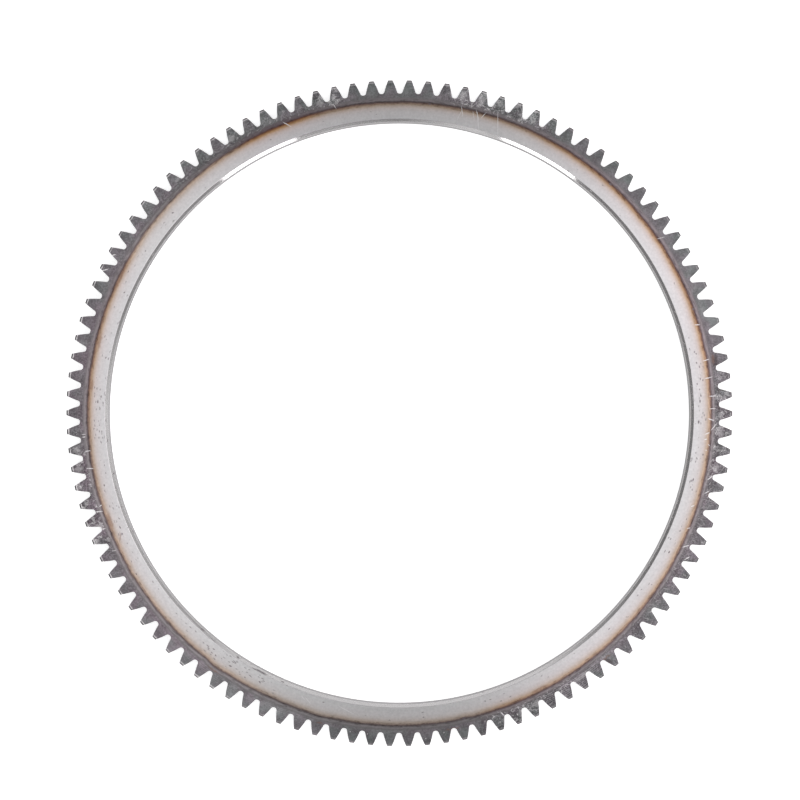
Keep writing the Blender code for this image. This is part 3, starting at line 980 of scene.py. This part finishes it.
def bare_mask(w, at, scale, marks, scratches):
    """Where the scale is gone: in scratches, rubbed patches and struck marks, and along the tips, worn and
    with a painted highlight.
    """
    place = at["Place"]
    patches = w.math("MULTIPLY", marks["Rubbed"], w.blend(scale["Height"], 0.1, 0.45))
    torn = w.step(w.noise(place, 2.4, detail=3.0, roughness=0.6), 0.36, 0.5)
    struck = w.math("MULTIPLY", marks["Bare"], w.blend(torn, 0.4, 1.0))
    # Bare steel along the tips: partly wear, partly a painted highlight where light fell.
    tips = w.math("MULTIPLY", w.step(at["Radius"], *WORN_HIGHLIT_TIPS_START), w.around(at["Degrees"], TIPS_WORN_AND_HIGHLIT))
    tips = w.math("MULTIPLY", tips, w.step(w.noise(place, 0.9), 0.25, 0.55))
    bare = w.math("MAXIMUM", w.math("MULTIPLY", scratches, 0.8), struck)
    return w.math("MAXIMUM", w.math("MAXIMUM", bare, patches), tips)


def face_material(finish, groups):
    """Both flat faces: bare steel at the bore, the temper colours, then scale out over the teeth."""
    material, shader, w = new_material("turned_face")
    at = w.group(groups["coordinates"]).outputs
    place, swirl, degrees, radius = at["Place"], at["Swirl"], at["Degrees"], at["Radius"]
    lathe = w.group(groups["turning"], swirl=swirl, spacing=0.22).outputs
    marks = w.group(groups["marks"], place=place, degrees=degrees, radius=radius).outputs
    scale = heat_scale(w, at, finish, groups)

    heat = heat_radius(w, at)
    scaled = w.step(heat, *SCALE_START)
    colour = w.mix(scaled, temper_colour(w, at, heat), crust_colour(w, at, scale))
    colour = tooled(w, at, colour, lathe["Sheen"], scaled)
    colour = w.mix(w.math("MULTIPLY", marks["Dark"], 0.6), colour, DARK_STAIN)
    colour = w.mix(w.math("MULTIPLY", marks["Brown"], 0.5), colour, BROWN_STAIN)
    pitted = w.math("MULTIPLY", w.around(degrees, PITTED), w.step(heat, *PITS_END))
    small_pits = w.group(groups["pits"], swirl=swirl, amount=pitted).outputs["Mask"]
    pits = w.math("MAXIMUM", w.math("MULTIPLY", small_pits, 0.75), marks["Pits"])
    colour = w.mix(w.math("MULTIPLY", pits, 0.95), colour, FACE_PIT)
    scratches = scratch_mask(w, at, heat, groups)
    bare = bare_mask(w, at, scale, marks, scratches)
    w.feed(shader.inputs["Base Color"], w.mix(bare, colour, BARED_STEEL))

    dull = w.math("MULTIPLY", scaled, w.math("SUBTRACT", 1.0, bare))
    w.feed(shader.inputs["Metallic"], w.blend(dull, 1.0, 0.7))
    w.feed(shader.inputs["Roughness"], w.blend(dull, finish.bare_roughness, finish.scale_roughness))
    relief = bump(w, lathe["Height"], LATHE_DEPTH)
    relief = bump(w, w.math("MULTIPLY", scale["Height"], scaled), CRUST_DEPTH, relief)
    hollows = w.math("MAXIMUM", small_pits, scratches)
    relief = bump(w, w.math("SUBTRACT", 1.0, hollows), SCRATCH_DEPTH, relief)
    w.feed(shader.inputs["Normal"], relief)
    lathe_grain(shader, w, 0.8)
    return material


def bore_material(finish, groups, wall_top):
    """The bore and its chamfers: bright turned chamfers with pits in places, and a wall darkened as
    painted shade.
    """
    material, shader, w = new_material("turned_bore")
    at = w.group(groups["coordinates"]).outputs
    degrees, swirl = at["Degrees"], at["Swirl"]
    height = w.node("ShaderNodeSeparateXYZ", {0: at["Place"]}).outputs[2]
    lathe = w.group(groups["turning"], swirl=swirl, spacing=0.18).outputs
    wall = w.step(height, wall_top + 0.05, wall_top - 0.1)
    # Painted shade: the wall is darker than the chamfers, standing for the ring's shadow on the floor that
    # the wall reflects.
    colour = w.mix(wall, (*finish.bare_steel, 1.0), (*finish.bore_wall_painted_shade, 1.0))
    sheen = w.centred(lathe["Sheen"], w.blend(wall, 0.16, 0.6))
    colour = w.tone(colour, w.math("ADD", 1.0, sheen))
    pitted = w.around(degrees, CHAMFER_PITTED)
    pits = w.group(groups["pits"], swirl=swirl, amount=pitted).outputs["Mask"]
    streaks = w.marks(degrees, w.unrolled(at, 0.9, 0.3), CHAMFER_PITS, edge=0.8)
    streaks = w.math("MULTIPLY", streaks, w.step(height, wall_top - 0.7, wall_top - 0.1))
    pits = w.math("MAXIMUM", w.math("MULTIPLY", pits, 0.7), streaks)
    w.feed(shader.inputs["Base Color"], w.mix(w.math("MULTIPLY", pits, 0.75), colour, BORE_PIT))

    shader.inputs["Metallic"].default_value = 1.0
    rough = w.math("MAXIMUM", wall, pits)
    w.feed(shader.inputs["Roughness"], w.blend(rough, w.blend(lathe["Sheen"], 0.1, 0.15), 0.4))
    relief = w.math("MULTIPLY", lathe["Height"], w.blend(wall, 0.4, 1.0))
    relief = bump(w, relief, BORE_LATHE_DEPTH)
    w.feed(shader.inputs["Normal"], bump(w, w.math("SUBTRACT", 1.0, pits), PIT_DEPTH, relief))
    lathe_grain(shader, w, 0.85)
    return material


def flank_material(finish, groups, chamfer_foot):
    """Flanks, roots and tips: scale over the marks that the cutter left along the tooth."""
    material, shader, w = new_material("hardened_flank")
    at = w.group(groups["coordinates"]).outputs
    place, radius = at["Place"], at["Radius"]
    scale = heat_scale(w, at, finish, groups)
    feed_marks = w.noise(w.stretch(place, 0.25, 0.25, 2.2), 1.0, detail=3.0, roughness=0.6)
    colour = w.tone(w.tone(scale["Colour"], FLANK_TINT), w.blend(feed_marks, 0.7, 1.3))

    height = w.node("ShaderNodeSeparateXYZ", {0: place}).outputs[2]
    # On the front tip chamfer, where light fell: a painted highlight of bright worn steel at its inner
    # edge, and painted shade outside it.
    chamfered = w.step(height, chamfer_foot - 0.05, chamfer_foot + 0.05)
    chamfered = w.math("MULTIPLY", chamfered, w.around(at["Degrees"], TIPS_WORN_AND_HIGHLIT))
    painted_shade = w.math("MULTIPLY", w.step(radius, *CHAMFER_DARK_START), chamfered)
    bare = w.math("MULTIPLY", w.step(radius, *CHAMFER_BARE_END), chamfered)
    colour = w.mix(w.math("MULTIPLY", painted_shade, 0.85), colour, PAINTED_SHADE_EDGE)
    w.feed(shader.inputs["Base Color"], w.mix(bare, colour, WORN_HIGHLIT_EDGE))
    w.feed(shader.inputs["Metallic"], w.blend(bare, 0.7, 1.0))
    roughness = w.blend(scale["Thin"], finish.scale_roughness + 0.08, finish.scale_roughness - 0.12)
    w.feed(shader.inputs["Roughness"], w.blend(bare, roughness, finish.bare_roughness))
    relief = bump(w, feed_marks, CUTTER_DEPTH)
    w.feed(shader.inputs["Normal"], bump(w, scale["Height"], CRUST_DEPTH, relief))
    return material


class RINGGEAR_OT_ring(bpy.types.Operator):
    """Model the toothed ring and give it its finish"""

    bl_idname = "ringgear.ring"
    bl_label = "Ring"

    def execute(self, context):
        sizes = context.scene.ring_gear_sizes
        finish = context.scene.ring_gear_finish
        form = RingForm(sizes)
        rear = NODE_LOW[2]
        front = rear + sizes.face_width
        ring = model_sector(form, front, rear)
        ring.name = "toothed_ring"
        ring.data.name = "toothed_ring"
        groups = {
            "coordinates": coordinates_group(),
            "turning": turning_group(),
            "scale": scale_group(),
            "scratches": scratch_group(),
            "pits": pit_group(),
            "marks": single_marks_group(),
        }
        face = face_material(finish, groups)
        bore = bore_material(finish, groups, (front - sizes.front_bore_chamfer) / MM)
        flank = flank_material(finish, groups, (front - sizes.front_tip_chamfer[1]) / MM)
        assign_finishes(form, ring, face, bore, flank)
        round_edges(sizes.edge_rounding)
        repeat_round(sizes.teeth)
        finish_shading(ring)
        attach(ring, "root")
        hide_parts(NODE)
        return {"FINISHED"}


def add_strip(name, degrees, power):
    """A soft box that nobody sees: a rectangular lamp beside the ring, facing its axis."""
    place = polar(STRIP_DISTANCE, math.radians(degrees), STRIP_HEIGHT)
    deselect_all()
    bpy.ops.object.light_add(type="AREA", location=place)
    lamp = bpy.context.object
    lamp.name = name
    lamp.data.name = name
    lamp.data.shape = "RECTANGLE"
    lamp.data.size, lamp.data.size_y = STRIP_SIZE
    lamp.data.energy = power
    lamp.visible_camera = False
    facing = Vector((0.0, 0.0, STRIP_HEIGHT)) - place
    lamp.rotation_euler = facing.to_track_quat("-Z", "Y").to_euler()


def add_floor(glow):
    deselect_all()
    bpy.ops.mesh.primitive_plane_add(size=FLOOR_SIZE, location=(0.0, 0.0, -FLOOR_DROP))
    floor = bpy.context.object
    floor.name = "floor"
    floor.data.materials.append(floor_material(glow))


def add_camera(stage):
    """A camera above the ring's front face, looking straight down."""
    place = (*stage.camera_offset, NODE_HIGH[2] + stage.camera_height)
    deselect_all()
    bpy.ops.object.camera_add(location=place)
    camera = bpy.context.object
    camera.rotation_euler = (0.0, 0.0, stage.camera_roll)
    camera.data.lens = camera.data.sensor_width * stage.camera_height / stage.frame_width
    bpy.context.scene.camera = camera


def floor_material(brightness):
    """White to the camera and in reflections, with the ring's shadow kept on it."""
    material = bpy.data.materials.new("white_paper")
    material.use_nodes = True
    tree = material.node_tree
    tree.nodes.clear()
    w = Wiring(tree)
    path = w.node("ShaderNodeLightPath").outputs
    seen = w.math("MAXIMUM", path["Is Camera Ray"], path["Is Glossy Ray"])
    seen = w.math("MAXIMUM", seen, path["Is Transmission Ray"])
    paper = w.node("ShaderNodeBsdfDiffuse", {"Color": PAPER}).outputs[0]
    glow = w.node("ShaderNodeEmission", {"Color": WHITE, "Strength": brightness}).outputs[0]
    lit = w.node("ShaderNodeAddShader", {0: paper, 1: glow}).outputs[0]
    shown = w.node("ShaderNodeMixShader", {0: seen, 1: paper, 2: lit}).outputs[0]
    out = w.node("ShaderNodeOutputMaterial")
    w.feed(out.inputs["Surface"], shown)
    return material


def studio_world(level):
    """Soft light from all round: a large bright panel high on each side, and darker gaps between them."""
    world = bpy.data.worlds.new("studio")
    world.use_nodes = True
    w = Wiring(world.node_tree)
    facing = w.node("ShaderNodeTexCoord").outputs["Generated"]
    x, y, z = w.node("ShaderNodeSeparateXYZ", {0: facing}).outputs
    azimuth = w.turn(x, y)
    height = w.math("MULTIPLY", w.math("ARCSINE", z), 180 / math.pi)
    horizon = w.around(azimuth, [(at, value / LIGHT_SPAN) for at, value in HORIZON_LIGHT])
    panels = w.around(azimuth, [(at, value / LIGHT_SPAN) for at, value in PANEL_LIGHT])
    brightness = w.blend(w.step(height, *PANELS_START), horizon, panels)
    brightness = w.blend(w.step(height, *PANELS_END), brightness, ZENITH_LIGHT / LIGHT_SPAN)
    colour = w.mix(w.step(brightness, 0.2, 0.6), WHITE, PANEL_TINT)
    background = world.node_tree.nodes["Background"]
    w.feed(background.inputs["Color"], colour)
    w.feed(background.inputs["Strength"], w.math("MULTIPLY", brightness, LIGHT_SPAN * level))
    return world


class RINGGEAR_OT_stage(bpy.types.Operator):
    """Set up the floor, the lights and the camera"""

    bl_idname = "ringgear.stage"
    bl_label = "Stage"

    def execute(self, context):
        stage = context.scene.ring_gear_stage
        context.scene.view_settings.view_transform = "Standard"
        add_camera(stage)
        add_floor(stage.paper_glow)
        for name, degrees in STRIPS:
            add_strip(name, degrees, stage.strip_power)
        context.scene.world = studio_world(stage.light_level)
        return {"FINISHED"}


class RINGGEAR_PT_sidebar(bpy.types.Panel):
    """Lists the pieces and their sizes"""

    bl_idname = "RINGGEAR_PT_sidebar"
    bl_label = "Ring Gear"
    bl_space_type = "VIEW_3D"
    bl_region_type = "UI"
    bl_category = "Ring Gear"

    def draw(self, context):
        layout = self.layout
        scene = context.scene
        for operator in (RINGGEAR_OT_ring, RINGGEAR_OT_stage):
            layout.operator(operator.bl_idname)
        for group in (scene.ring_gear_sizes, scene.ring_gear_finish, scene.ring_gear_stage):
            for name in group.bl_rna.properties.keys():
                if name not in ("rna_type", "name"):
                    layout.prop(group, name)


CLASSES = (
    RingGearSizes,
    RingGearFinish,
    RingGearStage,
    RINGGEAR_OT_ring,
    RINGGEAR_OT_stage,
    RINGGEAR_PT_sidebar,
)


def register():
    for item in CLASSES:
        bpy.utils.register_class(item)
    bpy.types.Scene.ring_gear_sizes = PointerProperty(type=RingGearSizes)
    bpy.types.Scene.ring_gear_finish = PointerProperty(type=RingGearFinish)
    bpy.types.Scene.ring_gear_stage = PointerProperty(type=RingGearStage)


def unregister():
    del bpy.types.Scene.ring_gear_stage
    del bpy.types.Scene.ring_gear_finish
    del bpy.types.Scene.ring_gear_sizes
    for item in reversed(CLASSES):
        bpy.utils.unregister_class(item)


def main():
    register()
    bpy.ops.ringgear.ring()
    bpy.ops.ringgear.stage()


if __name__ == "__main__":
    main()
